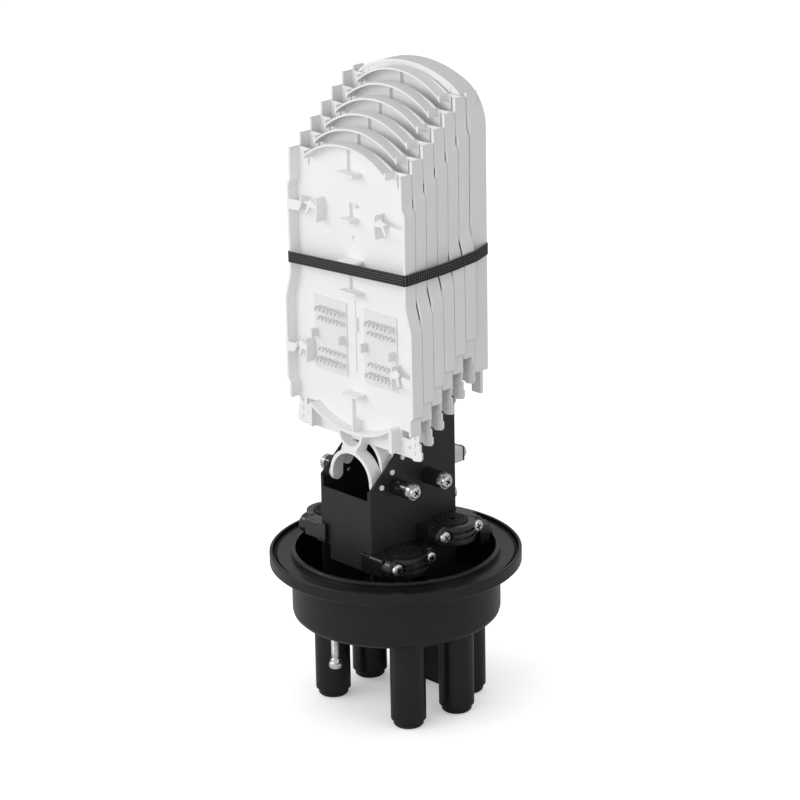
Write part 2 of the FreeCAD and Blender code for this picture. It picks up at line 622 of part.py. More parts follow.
def tray_floor():
    """Flat back of a tray with a bowed top, a straight bottom and a stepped tab at each lower corner."""
    top_x, top_z, top_mid = FLOOR_ARC
    run = list(reversed(TAB_EDGE)) + list(reversed(TRAY_SIDE)) + [(top_x, top_z)]
    low_x, low_z = TAB_EDGE[-1]
    edges = [arc_xz(top_x, top_z, top_mid, FLOOR_Y), Part.makeLine(vec(-low_x, FLOOR_Y, low_z), vec(low_x, FLOOR_Y, low_z))]
    for side in (1, -1):
        corners = [vec(side * x, FLOOR_Y, z) for x, z in run]
        edges += [Part.makeLine(a, b) for a, b in zip(corners, corners[1:])]
    return Part.Face(Part.Wire(Part.__sortEdges__(edges))).extrude(vec(0, FLOOR_T, 0))


def guide(x, z0, z1):
    """Upright guide wall, slightly bowed, as deep as the tray."""
    mid = (z0 + z1) / 2
    edges = [Part.makeLine(vec(x, TRAY_FRONT, z), vec(x + GUIDE_T, TRAY_FRONT, z)) for z in (z0, z1)]
    for shift in (0, GUIDE_T):
        edges.append(Part.Arc(vec(x + shift, TRAY_FRONT, z0), vec(x + shift - GUIDE_BOW, TRAY_FRONT, mid),
                              vec(x + shift, TRAY_FRONT, z1)).toShape())
    return Part.Face(Part.Wire(Part.__sortEdges__(edges))).extrude(vec(0, FACE_Y - TRAY_FRONT, 0))


def stub(x0, x1, z0, z_floor, z_front):
    """Short wall behind a hook, lower at the floor than at the front."""
    rise = z_front - z_floor
    return plate_yz([(TRAY_FRONT, z0 + rise), (TRAY_FRONT, z_front), (FACE_Y, z_floor), (FACE_Y, z0)], x0, x1)


def hinge_leg():
    """Lower end of the arch with its rounded tongue, boss and pin."""
    leg = block(ARCH_R - ARCH_T, ARCH_R, TRAY_FRONT, TRAY_BACK, PIN_Z, ARCH_Z + 1)
    tongue = rod_x(TRAY_DEPTH / 2, ARCH_R - ARCH_T, ARCH_R, PIN_Y, PIN_Z)
    boss = rod_x(PIN_BOSS_R, ARCH_R - 0.5, BRACKET_HW - SHEET - BOSS_GAP, PIN_Y, PIN_Z)
    pin = rod_x(PIN_R, ARCH_R - 0.5, BRACKET_HW + 1.0, PIN_Y, PIN_Z)
    return [leg, tongue, boss, pin]


def tray_half():
    """Everything on the right half of a tray that stands on its floor."""
    inner = [(x - WALL_T, z) for x, z in TRAY_SIDE]
    wall = plate_xz(list(TRAY_SIDE) + list(reversed(inner)), TRAY_FRONT, TRAY_BACK)
    flat = [plate_xz(outline, TRAY_FRONT, TRAY_FRONT + SHELF_T) for outline in (UPPER_HOOK, LOWER_HOOK, UPPER_STAR, LOWER_STAR)]
    x0, x1, z0, z1 = ARC_TAB
    arc_tab = block(x0, x1, TRAY_FRONT, TRAY_BACK, z0, z1)
    x0, x1, z0, z1 = SMILE_TAB
    smile_tab = block(x0, x1, TRAY_FRONT, TRAY_BACK, z0, z1)
    corner = [e for e in smile_tab.Edges
              if e.BoundBox.YLength > 5 and e.BoundBox.XMin > x1 - 0.1 and e.BoundBox.ZMin > z1 - 0.1]
    smile_tab = smile_tab.makeFillet(SMILE_ROUND, corner)
    guides = [guide(*UPPER_GUIDE), guide(*LOWER_GUIDE)]
    return [wall, arc_tab, smile_tab] + flat + guides + hinge_leg()


def hinge_arch():
    """Half ring and arch below a tray, joined by a waisted saddle."""
    y0, y1 = TRAY_FRONT, TRAY_BACK
    bore = rod_y(RING_R - RING_T, y0 - 1, y1 + 1, 0, RING_Z)
    ring = rod_y(RING_R, y0, y1, 0, RING_Z).cut(block(-RING_R, RING_R, y0, y1, RING_Z + 0.8, RING_Z + RING_R))
    saddle = block(-SADDLE_HW, SADDLE_HW, y0, y1, ARCH_Z + 19.4, ARCH_Z + 30.9)
    waist = [rod_y(SADDLE_CUT_R, y0 - 1, y1 + 1, s * SADDLE_CUT_X, ARCH_Z + 24.2) for s in (1, -1)]
    arch = joined(rod_y(ARCH_R, y0, y1, 0, ARCH_Z), saddle.cut(Part.makeCompound(waist)))
    inside = rod_y(ARCH_R - ARCH_T, y0 - 1, y1 + 1, 0, ARCH_Z)
    below = block(-ARCH_R, ARCH_R, y0, y1, ARCH_Z - ARCH_R, ARCH_Z)
    return joined(ring, arch).cut(Part.makeCompound([bore])).cut(Part.makeCompound([inside])).cut(below)


def splice_tray():
    """One tray at the place of the front one, with its hinge foot."""
    parts = [arc_strip(TOP_ARC, TOP_ARC_T, TRAY_FRONT, TRAY_BACK), arc_strip(SMILE, SMILE_T, TRAY_FRONT, TRAY_BACK)]
    parts.append(hinge_arch())
    parts += [block(x0, x1, TRAY_FRONT, FACE_Y, z0, z1) for x0, x1, z0, z1 in LIPS]
    parts += [block(x, x + RIB_T, FLOOR_Y - RIB_DEEP, FACE_Y, z0, z1) for x, z0, z1 in RIBS]
    parts.append(plate_xz(FLAG, FLOOR_Y - RIB_DEEP, FACE_Y))
    x0, x1, z0, z_floor, z_front = FIN
    parts.append(plate_yz([(TRAY_FRONT, z0), (TRAY_FRONT, z_front), (FACE_Y, z_floor), (FACE_Y, z0)], x0, x1))
    x0, x1, z0, z1 = CENTRE_HOOK
    parts.append(block(x0, x1, FLOOR_Y - RIB_DEEP, FACE_Y, z0, z1))
    parts += [mirrored(stub(*place)) for place in (UPPER_STUB, LOWER_STUB)]
    body = joined(tray_floor(), *(parts + both_sides(tray_half())))
    half, z0, z1 = CENTRE_SLIT
    blind = FLOOR_Y + SLIT_DEEP
    cuts = [rod_y(EYE_R, FLOOR_Y - 1, blind, 0, EYE_Z), block(-half, half, FLOOR_Y, blind, z0, z1)]
    cuts += both_sides([block(x0, x1, FLOOR_Y - 1, blind, z0, z1) for x0, x1, z0, z1 in CORNER_SLITS])
    windows = [STRAP_SLIT, CORNER_WINDOW, CORNER_HOLE]
    windows.append((HOLDER_X + STOP_X[0], HOLDER_X + STOP_X[1] + STOP_W, 316.0, 319.0))
    cuts += both_sides([block(x0, x1, FLOOR_Y - 1, TRAY_BACK + 1, z0, z1) for x0, x1, z0, z1 in windows])
    return body.cut(Part.makeCompound(cuts))


def splice_holder():
    """Snap-in holder for splice sleeves: a thin plate with four rows of leaning fins and two stops."""
    plate = block(HOLDER_X, HOLDER_X + HOLDER_W, FLOOR_Y - HOLDER_T, FLOOR_Y, HOLDER_Z[0], HOLDER_Z[1])
    root = FLOOR_Y - HOLDER_T + 0.1
    raised = []
    for z, tall, deep, shift in FIN_ROWS:
        for i in range(FINS):
            x = HOLDER_X + shift + FIN_PITCH * i
            top = x + FIN_LEAN
            raised.append(plate_xz([(x, z), (x + FIN_T, z), (top + FIN_T, z + tall), (top, z + tall)], root - deep, root))
    for dx in STOP_X:
        raised.append(block(HOLDER_X + dx, HOLDER_X + dx + STOP_W, root - STOP_DEEP, root, STOP_Z[0], STOP_Z[1]))
    return joined(plate, *raised)


# Rear parts


def basket_outline(inset, bottom):
    """Wire of the basket seen from the front: straight sides, round shoulders and a shallow arched top."""
    side = BASKET_HW - inset
    shoulder = vec(BASKET_SHOULDER[0] - inset * 0.5, 0, BASKET_SHOULDER[1] - inset)
    corner = vec(BASKET_CORNER[0] - inset * 0.8, 0, BASKET_CORNER[1] - inset * 0.6)
    low = vec(side, 0, BASKET_SIDE_Z)
    foot = vec(side, 0, bottom)
    flip = [vec(-p.x, 0, p.z) for p in (shoulder, corner, low, foot)]
    edges = [Part.Arc(flip[0], vec(0, 0, BASKET_TOP - inset), shoulder).toShape(),
             Part.Arc(shoulder, corner, low).toShape(), Part.Arc(flip[0], flip[1], flip[2]).toShape(),
             Part.makeLine(low, foot), Part.makeLine(flip[2], flip[3]), Part.makeLine(foot, flip[3])]
    return Part.Wire(Part.__sortEdges__(edges))


def tub(inset, y0, y1, bottom):
    body = Part.Face(basket_outline(inset, bottom)).extrude(vec(0, y1 - y0, 0))
    return moved(body, 0, y0, 0)


def basket():
    """Deep loop-storage basket: a round-topped tub open towards the trays."""
    body = tub(0, BASKET_Y0, BASKET_Y1, BASKET_BOTTOM)
    body = body.cut(tub(BASKET_WALL, BASKET_Y0 - 1, BASKET_Y1 - BASKET_WALL, BASKET_BOTTOM + BASKET_WALL))
    rim_end = BASKET_Y0 + BASKET_RIM_DEEP
    extra = [block(x0, x1, BASKET_Y0, rim_end, z0, z1) for x0, x1, z0, z1 in (BASKET_WING, BASKET_TEE)]
    extra.append(plate_xz(BASKET_TAB, BASKET_Y1 - 3.0, BASKET_Y1))
    for drop in BASKET_REST_DROP:
        z = BASKET_SIDE_Z - drop
        extra.append(block(BASKET_HW - 11.0, BASKET_HW - 1.0, BASKET_Y0, BASKET_Y0 + 1.8, z, z + BASKET_REST_H))
    lug = block(-BASKET_LUG_HW, BASKET_LUG_HW, BASKET_Y1 - 4.0, BRACKET_REAR, BASKET_LUG_Z, BASKET_BOTTOM + 1)
    hub = rod_y(HUB_R, BASKET_Y0 + 1, BASKET_Y1 - 1, 0, HUB_Z)
    hub = hub.cut(rod_y(HUB_R - HUB_T, BASKET_Y0, BASKET_Y1 - BASKET_WALL, 0, HUB_Z))
    body = joined(body, lug, hub, *both_sides(extra))
    holes = [rod_y(SHANK_BORE, BASKET_Y1 - 6, BASKET_Y1 + 1, s * BASKET_SCREW_X, BASKET_SCREW_Z) for s in (1, -1)]
    return body.cut(Part.makeCompound(holes))


def anchor():
    """Strength member anchor: a metal block on the rear panel with a moulded cap."""
    x, z = ANCHOR_SCREW
    cap_y = PANEL_REAR + ANCHOR_T
    end_y = cap_y + ANCHOR_CAP_T
    drill = rod_y(SHANK_BORE, PANEL_REAR - 1, end_y + 1, x, z)
    metal = block(ANCHOR_X[0], ANCHOR_X[1], PANEL_REAR, cap_y, ANCHOR_Z[0], ANCHOR_Z[1]).cut(drill)
    cap = block(ANCHOR_X[0], ANCHOR_X[1], cap_y, end_y, ANCHOR_Z[0], ANCHOR_Z[1])
    cap = cap.makeChamfer(1.0, [e for e in cap.Edges if abs(e.BoundBox.YMin - end_y) < 1e-6]).cut(drill)
    return metal, cap, screw(ANCHOR_SCREW_LONG, (x, end_y, z), (0, 1, 0))


def tray_strap():
    """Woven strap drawn tight round the six trays and the basket, on a slight slope."""
    line = [(x, y) for x, y in STRAP_LINE]
    line[0] = (line[0][0], line[0][1] - 0.02)
    line[-1] = (line[-1][0], line[-1][1] + 0.02)
    ring = line + [(-x, y) for x, y in reversed(line)]
    corners = [vec(x, y, 0) for x, y in ring]
    wire = Part.Wire(Part.makePolygon(corners + [corners[0]]))
    tall = STRAP_H * 6
    belt = Part.Face(wire.makeOffset2D(STRAP_T)).extrude(vec(0, 0, tall))
    belt = moved(belt.cut(Part.Face(wire).extrude(vec(0, 0, tall))), 0, 0, STRAP_Z - tall / 2)
    reach = 2 * FLANGE_R
    slab = Part.makeBox(2 * reach, 2 * reach, STRAP_H, vec(-reach, -reach, -STRAP_H / 2))
    slab.rotate(vec(0, 0, 0), vec(0, 1, 0), -math.degrees(math.atan(STRAP_RISE_X)))
    slab.rotate(vec(0, 0, 0), vec(1, 0, 0), math.degrees(math.atan(STRAP_RISE_Y)))
    return belt.common(moved(slab, 0, STRAP_Y, STRAP_Z))


# Assemble and write every piece

save("base_shell", base_shell())
save("flange_seal_ring", seal_ring())
valve_body, valve_nut, valve_cap = valve_parts()
save("valve_body", valve_body)
save("valve_nut", valve_nut)
save("valve_cap", valve_cap)

save("bracket_channel", bracket_channel())
save("bracket_rear_panel", rear_panel())
save("bracket_foot_screws", Part.makeCompound(
    [screw(FOOT_SCREW_LONG, (s * x, y, BRACKET_FOOT_Z + SHEET), (0, 0, 1)) for x, y in FOOT_XY for s in (1, -1)]))
save("rear_panel_screws", Part.makeCompound(
    [screw(PANEL_SCREW_LONG, (s * PANEL_SCREW_X, PANEL_REAR, z), (0, 1, 0)) for s in (1, -1) for z in PANEL_SCREW_Z]))

for y, end_name in zip(POST_Y, ("front", "rear")):
    save("post_right_" + end_name, post_sleeve(y))
    save("post_left_" + end_name, mirrored(post_sleeve(y)))
save("crown_washers", Part.makeCompound(both_sides([crown_washer(y) for y in POST_Y])))
save("post_nuts", Part.makeCompound(both_sides([post_nut(y) for y in POST_Y])))
save("post_screws", Part.makeCompound(
    [screw(28.5, (s * (POST_END + CROWN_SEAT), y, POST_Z), (s, 0, 0)) for s in (1, -1) for y in POST_Y]))

CLAMPS = (("right_front", 1, CLAMP_LOW, FRONT_CLAMP_Y), ("left_front", -1, CLAMP_HIGH, FRONT_CLAMP_Y),
          ("right_rear", 1, CLAMP_HIGH, REAR_CLAMP_Y), ("left_rear", -1, CLAMP_LOW, REAR_CLAMP_Y))
clamp_screws = []
for name, side, low, y in CLAMPS:
    pieces = (("clamp_block_", clamp_block(low, y, y < 0)), ("clamp_strap_", clamp_strap(low, y)),
              ("cable_grommet_", grommet(low, y)))
    for kind, shape in pieces:
        save(kind + name, shape if side > 0 else mirrored(shape))
    for s in (1, -1):
        seat = (side * (CLAMP_FACE + CLAMP_EAR_T), y + s * CLAMP_PITCH / 2, low + CLAMP_H / 2)
        clamp_screws.append(screw(CLAMP_SCREW_LONG, seat, (side, 0, 0)))
save("clamp_screws", Part.makeCompound(clamp_screws))

oval_base, oval_band, oval_plug, oval_screws = oval_clamp()
save("oval_clamp_block", oval_base)
save("oval_clamp_strap", oval_band)
save("oval_grommet", oval_plug)
save("oval_clamp_screws", Part.makeCompound(oval_screws))

save("storage_basket", basket())
save("basket_screws", Part.makeCompound(
    [screw(BASKET_SCREW_LONG, (s * BASKET_SCREW_X, PANEL_REAR, BASKET_SCREW_Z), (0, 1, 0)) for s in (1, -1)]))
metal, cap, fixing = anchor()
save("anchor_blocks", Part.makeCompound(both_sides([metal])))
save("anchor_caps", Part.makeCompound(both_sides([cap])))
save("anchor_screws", Part.makeCompound(both_sides([fixing])))

tray = splice_tray()
holder = splice_holder()
for i in range(TRAYS):
    dy = i * STEP_Y
    dz = i * STEP_Z
    save("splice_tray_%d" % (i + 1), moved(tray, 0, dy, dz))
    save("splice_holder_%d_right" % (i + 1), moved(holder, 0, dy, dz))
    save("splice_holder_%d_left" % (i + 1), moved(holder, -HOLDER_STEP, dy, dz))

save("tray_strap", tray_strap())
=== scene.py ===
import math

import bmesh
import bpy
from mathutils import Matrix, Vector


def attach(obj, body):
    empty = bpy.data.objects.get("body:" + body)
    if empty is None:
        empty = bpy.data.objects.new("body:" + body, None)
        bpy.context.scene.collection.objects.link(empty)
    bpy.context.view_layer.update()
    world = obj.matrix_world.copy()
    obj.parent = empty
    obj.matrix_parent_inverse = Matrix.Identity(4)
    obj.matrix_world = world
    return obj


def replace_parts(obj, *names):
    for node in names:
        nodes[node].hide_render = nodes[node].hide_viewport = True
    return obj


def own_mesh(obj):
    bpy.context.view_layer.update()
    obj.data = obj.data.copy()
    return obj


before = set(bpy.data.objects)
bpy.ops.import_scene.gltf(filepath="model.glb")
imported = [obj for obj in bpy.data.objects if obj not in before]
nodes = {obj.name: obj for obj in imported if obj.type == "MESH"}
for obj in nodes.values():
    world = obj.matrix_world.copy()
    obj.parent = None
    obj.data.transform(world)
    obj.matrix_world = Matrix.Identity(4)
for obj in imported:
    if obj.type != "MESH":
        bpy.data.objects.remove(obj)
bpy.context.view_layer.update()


# The round base is one black moulding with a satin, faintly grained skin. The flange carries a groove
# for the seal, the bowl hangs below it, and the cable ports are closed stubs that are cut off when used.


def grain_group():
    """Fine grain, slow shade change and soft smears shared by the moulded, painted and plated skins."""
    group = bpy.data.node_groups.new("moulded_grain", "ShaderNodeTree")
    for name, kind, start in (("Colour", "NodeSocketColor", (0.5, 0.5, 0.5, 1)),
                              ("Spread", "NodeSocketFloat", 0.1),
                              ("Scale", "NodeSocketFloat", 900.0),
                              ("Rough", "NodeSocketFloat", 0.4)):
        socket = group.interface.new_socket(name=name, in_out="INPUT", socket_type=kind)
        socket.default_value = start
    for name, kind in (("Colour", "NodeSocketColor"),
                       ("Roughness", "NodeSocketFloat"),
                       ("Height", "NodeSocketFloat")):
        group.interface.new_socket(name=name, in_out="OUTPUT", socket_type=kind)
    n, link = group.nodes, group.links.new
    inp, out = n.new("NodeGroupInput"), n.new("NodeGroupOutput")
    place = n.new("ShaderNodeTexCoord")
    fine = n.new("ShaderNodeTexNoise")
    fine.inputs["Detail"].default_value = 3.0
    link(place.outputs["Object"], fine.inputs["Vector"])
    link(inp.outputs["Scale"], fine.inputs["Scale"])
    slow = n.new("ShaderNodeTexNoise")
    slow.inputs["Scale"].default_value = 18.0
    slow.inputs["Detail"].default_value = 2.0
    link(place.outputs["Object"], slow.inputs["Vector"])
    shade = n.new("ShaderNodeMapRange")
    shade.inputs["From Min"].default_value = 0.3
    shade.inputs["From Max"].default_value = 0.7
    low, high = n.new("ShaderNodeMath"), n.new("ShaderNodeMath")
    low.operation, high.operation = "SUBTRACT", "ADD"
    low.inputs[0].default_value = high.inputs[0].default_value = 1.0
    link(inp.outputs["Spread"], low.inputs[1])
    link(inp.outputs["Spread"], high.inputs[1])
    link(slow.outputs["Fac"], shade.inputs["Value"])
    link(low.outputs[0], shade.inputs["To Min"])
    link(high.outputs[0], shade.inputs["To Max"])
    tint = n.new("ShaderNodeVectorMath")
    tint.operation = "SCALE"
    link(inp.outputs["Colour"], tint.inputs[0])
    link(shade.outputs["Result"], tint.inputs["Scale"])
    link(tint.outputs["Vector"], out.inputs["Colour"])
    rough = n.new("ShaderNodeMath")
    rough.operation = "MULTIPLY"
    link(inp.outputs["Rough"], rough.inputs[0])
    link(shade.outputs["Result"], rough.inputs[1])
    link(rough.outputs[0], out.inputs["Roughness"])
    link(fine.outputs["Fac"], out.inputs["Height"])
    return group


grain = grain_group()


def skin(name, colour, rough, spread=0.08, scale=900.0, bump=0.05, depth=0.0002, round_edge=0.0, specular=0.5,
         metal=0.0):
    """A moulded, painted or plated skin: grain from the group, edges eased by the given radius."""
    mat = bpy.data.materials.new(name)
    mat.use_nodes = True
    n, link = mat.node_tree.nodes, mat.node_tree.links.new
    shader = n["Principled BSDF"]
    shader.inputs["Specular IOR Level"].default_value = specular
    shader.inputs["Metallic"].default_value = metal
    fill = n.new("ShaderNodeGroup")
    fill.node_tree = grain
    fill.inputs["Colour"].default_value = (*colour, 1)
    fill.inputs["Spread"].default_value = spread
    fill.inputs["Scale"].default_value = scale
    fill.inputs["Rough"].default_value = rough
    link(fill.outputs["Colour"], shader.inputs["Base Color"])
    link(fill.outputs["Roughness"], shader.inputs["Roughness"])
    lift = n.new("ShaderNodeBump")
    lift.inputs["Strength"].default_value = bump
    lift.inputs["Distance"].default_value = depth
    link(fill.outputs["Height"], lift.inputs["Height"])
    if round_edge:
        ease = n.new("ShaderNodeBevel")
        ease.samples = 4
        ease.inputs["Radius"].default_value = round_edge
        link(ease.outputs["Normal"], lift.inputs["Normal"])
    link(lift.outputs["Normal"], shader.inputs["Normal"])
    return mat


def wear(name_list, mat):
    """Put a material on CAD nodes as they are."""
    for name in name_list:
        obj = nodes[name]
        obj.data.materials.clear()
        obj.data.materials.append(mat)


wear(["base_shell"], skin("moulded_base", (0.0075, 0.0075, 0.008), 0.33, round_edge=0.0008, specular=0.42))


# A rubber ring lies in the flange groove and seals against the cover. It is soft, dull and a little
# dusty, pressed in by hand.
wear(["flange_seal_ring"], skin("seal_rubber", (0.009, 0.009, 0.009), 0.62, bump=0.12, specular=0.3))


# The bracket is folded from sheet steel with a black powder coat, and a flat panel closes it behind.
# Four feet hold it to the bosses in the bowl.
wear(["bracket_channel", "bracket_rear_panel"],
     skin("powder_coat", (0.019, 0.019, 0.0195), 0.42, scale=1600.0, bump=0.10, depth=0.00015,
          round_edge=0.0004, specular=0.40))


# The cable clamps are black mouldings: a block against the bracket, an outer strap held by two screws,
# and a rubber grommet with peel rings between them. A wide one behind serves the oval port.
wear([n for n in nodes
      if n.startswith(("clamp_block", "clamp_strap_", "oval_clamp_block", "oval_clamp_strap"))],
     skin("moulded_clamp", (0.008, 0.008, 0.0085), 0.24, round_edge=0.0008, specular=0.8))
wear([n for n in nodes if "grommet" in n],
     skin("grommet_rubber", (0.011, 0.011, 0.011), 0.55, bump=0.1, round_edge=0.0004, specular=0.35))


# The air valve is turned from plated brass stock: a threaded body through the bowl, a hexagon under it,
# and a knurled cap screwed on below.
VALVE_Y = -0.0705
HEX_ACROSS, HEX_LOW, HEX_HIGH = 0.0090, 0.0755, 0.0795
NUT_LOW, NUT_HIGH = 0.0830, 0.0870
THREAD_FROM, THREAD_LONG, THREAD_PITCH = 0.0622, 0.0130, 0.0008
THREAD_ROOT, THREAD_CREST = 0.0032, 0.0034
VALVE_FOOT = ((0, 0.0505), (0.0024, 0.0505), (0.0026, 0.0508), (0.0026, 0.0545), (0.0031, 0.0548),
              (0.0031, 0.0606), (0.0034, 0.0612))
VALVE_HEAD = ((0.0034, 0.0895), (0.0030, 0.0900), (0, 0.0900))
CAP_R, KNURL_DEEP, KNURL_DEGREES = 0.0054, 0.00022, 5
CAP_LINE = ((0, 0.0490), (0.0036, 0.0490), (0.0047, 0.0493), (0.0052, 0.0499), (CAP_R, 0.0506),
            (CAP_R, 0.0518), (CAP_R, 0.0530), (0.0051, 0.0536), (0.0046, 0.0541), (0.0042, 0.0548),
            (0.0040, 0.0557), (0.0039, 0.0570), (0.0036, 0.0575), (0, 0.0575))


def spun(outline, steps):
    """Turn a (radius, height) outline, given in metres from bottom to top, about Z into a closed mesh."""
    mesh = bmesh.new()
    line = [mesh.verts.new((r, 0, z)) for r, z in outline]
    rim = [mesh.edges.new(pair) for pair in zip(line, line[1:])]
    bmesh.ops.spin(mesh, geom=line + rim, axis=(0, 0, 1), cent=(0, 0, 0), angle=math.tau, steps=steps,
                   use_merge=True)
    bmesh.ops.remove_doubles(mesh, verts=mesh.verts, dist=1e-6)
    bmesh.ops.recalc_face_normals(mesh, faces=mesh.faces)
    return mesh


def hex_bar(across, low, high):
    """A hexagon bar with its rims broken, as a nut or a spanner hold."""
    mesh = bmesh.new()
    corner = across / math.sqrt(3)
    bmesh.ops.create_cone(mesh, cap_ends=True, segments=6, radius1=corner, radius2=corner, depth=high - low)
    bmesh.ops.bevel(mesh, geom=[e for e in mesh.edges if abs(e.verts[0].co.z - e.verts[1].co.z) < 1e-6],
                    offset=0.0004, segments=2, affect="EDGES", profile=0.5, material=-1)
    bmesh.ops.translate(mesh, verts=mesh.verts, vec=(0, 0, (low + high) / 2))
    return mesh


def gather(pieces):
    """Merge (mesh, matrix) pairs into one new mesh; the same mesh may come more than once."""
    whole = bmesh.new()
    for data, matrix in pieces:
        before = len(whole.verts)
        whole.from_mesh(data)
        whole.verts.ensure_lookup_table()
        bmesh.ops.transform(whole, matrix=matrix, verts=whole.verts[before:])
    return whole


def kept(mesh, name):
    """Store a working mesh under a name and let the working mesh go."""
    data = bpy.data.meshes.new(name)
    mesh.to_mesh(data)
    mesh.free()
    return data


def piece(mesh, name, mat, body, sharp=35):
    """Make a mesh into a finished piece that rides on a body, smooth except past the given turn."""
    data = kept(mesh, name)
    data.materials.append(mat)
    data.polygons.foreach_set("use_smooth", [True] * len(data.polygons))
    data.set_sharp_from_angle(angle=math.radians(sharp))
    obj = bpy.data.objects.new(name, data)
    bpy.context.collection.objects.link(obj)
    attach(obj, body)
    return obj


plated = skin("plated_steel", (0.86, 0.86, 0.85), 0.27, spread=0.10, scale=2500.0, bump=0.06, depth=0.0001,
              metal=1.0)
at_valve = Matrix.Translation((0, VALVE_Y, 0))

thread = []
for i in range(int(THREAD_LONG / THREAD_PITCH)):
    z = THREAD_FROM + i * THREAD_PITCH
    thread += [(THREAD_ROOT, z), (THREAD_CREST, z + THREAD_PITCH * 0.4),
               (THREAD_CREST, z + THREAD_PITCH * 0.5)]
valve_line = [*VALVE_FOOT, *thread, *VALVE_HEAD]
valve = gather([(kept(spun(valve_line, 24), "valve_turned"), at_valve),
                (kept(hex_bar(HEX_ACROSS, HEX_LOW, HEX_HIGH), "valve_hexagon"), at_valve)])
valve = piece(valve, "air_valve", plated, "base")
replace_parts(valve, "valve_body")
lock_nut = kept(hex_bar(HEX_ACROSS, NUT_LOW, NUT_HIGH), "valve_lock_nut")
nut = piece(gather([(lock_nut, at_valve)]), "air_valve_nut", plated, "base")
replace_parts(nut, "valve_nut")

cap = spun(CAP_LINE, 360 // KNURL_DEGREES)
for v in cap.verts:
    across = v.co.xy.length
    turned = round(math.degrees(math.atan2(v.co.y, v.co.x)) / KNURL_DEGREES)
    if across > CAP_R - 0.0001 and turned % 2:
        v.co.xy *= 1 - KNURL_DEEP / across
cap = piece(gather([(kept(cap, "valve_knurled"), at_valve)]), "air_valve_cap", plated, "valve_cap",
            sharp=28)
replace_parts(cap, "valve_cap")


# Four posts hold the cables' strength members: a black glossy sleeve, a notched washer and a screw,
# with a dark nut inside the bracket. Two plated blocks with moulded caps do the same behind.
POST_SEAT_X, POST_Y, POST_Z = 52.2, (-27.5, 8.3), 205.8
CROWN_FACE, CROWN_SHRINK = 0.0528, 0.90

wear([n for n in nodes if n.startswith(("post_left", "post_right"))],
     skin("post_gloss", (0.012, 0.012, 0.0125), 0.12, bump=0.02, round_edge=0.0004, specular=1.0))
plated_block = skin("plated_block", (0.84, 0.84, 0.83), 0.26, spread=0.12, scale=2500.0, bump=0.08,
                    depth=0.0001, round_edge=0.0003, metal=1.0)
plated_crown = skin("plated_crown", (0.66, 0.66, 0.65), 0.30, spread=0.15, scale=2500.0, bump=0.08,
                    depth=0.0001, round_edge=0.0003, metal=1.0)
wear(["anchor_blocks"], plated_block)
wear(["post_nuts"],
     skin("dark_nut", (0.10, 0.10, 0.10), 0.34, spread=0.15, scale=2500.0, bump=0.1, depth=0.0001,
          round_edge=0.0003, metal=0.9))
wear(["anchor_caps"], bpy.data.materials["moulded_clamp"])

crown_seats = [Vector((y, POST_Z)) / 1000 for y in POST_Y]
crown = bmesh.new()
crown.from_mesh(nodes["crown_washers"].data)
bmesh.ops.remove_doubles(crown, verts=crown.verts, dist=1e-6)
for v in crown.verts:
    v.co.x = max(-CROWN_FACE, min(CROWN_FACE, v.co.x))
    seat = min(crown_seats, key=lambda s: (v.co.yz - s).length)
    v.co.yz = seat + (v.co.yz - seat) * CROWN_SHRINK
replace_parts(piece(crown, "notched_crowns", plated_crown, "base"), "crown_washers")


# Every screw is a plated pan head with a cross recess. Eight close the cable clamps, two the oval clamp,
# four the posts, and the rest hold the panel, the basket, the anchors and the bracket's feet.
HEAD_R, HEAD_H, SHANK_R = 0.0054, 0.0034, 0.0024
RECESS_LONG, RECESS_WIDE, RECESS_DEEP = 0.0070, 0.0016, 0.0021
CLAMP_SEAT_X, CLAMP_LOW, CLAMP_HIGH = 54.5, 145.5, 158.5
PANEL_Y, ANCHOR_Y, OVAL_Y = 41.5, 54.5, 64

# Near-black material for the faces inside the cross recess: painted shade that darkens the recess.
painted_recess_shade = skin("recess_painted_shade", (0.008, 0.008, 0.008), 0.6, specular=0.2)


def recess_blade(turn):
    """One blade of the cross recess, narrower at its foot."""
    mesh = bmesh.new()
    bmesh.ops.create_cube(mesh, size=1.0)
    bmesh.ops.scale(mesh, verts=mesh.verts, vec=(RECESS_LONG, RECESS_WIDE, RECESS_DEEP * 2))
    bmesh.ops.scale(mesh, verts=[v for v in mesh.verts if v.co.z < 0], vec=(0.7, 0.8, 1.0))
    bmesh.ops.rotate(mesh, verts=mesh.verts, matrix=Matrix.Rotation(math.radians(turn), 3, "Z"))
    bmesh.ops.translate(mesh, verts=mesh.verts, vec=(0, 0, HEAD_H))
    return bpy.data.objects.new("blade", kept(mesh, "blade"))


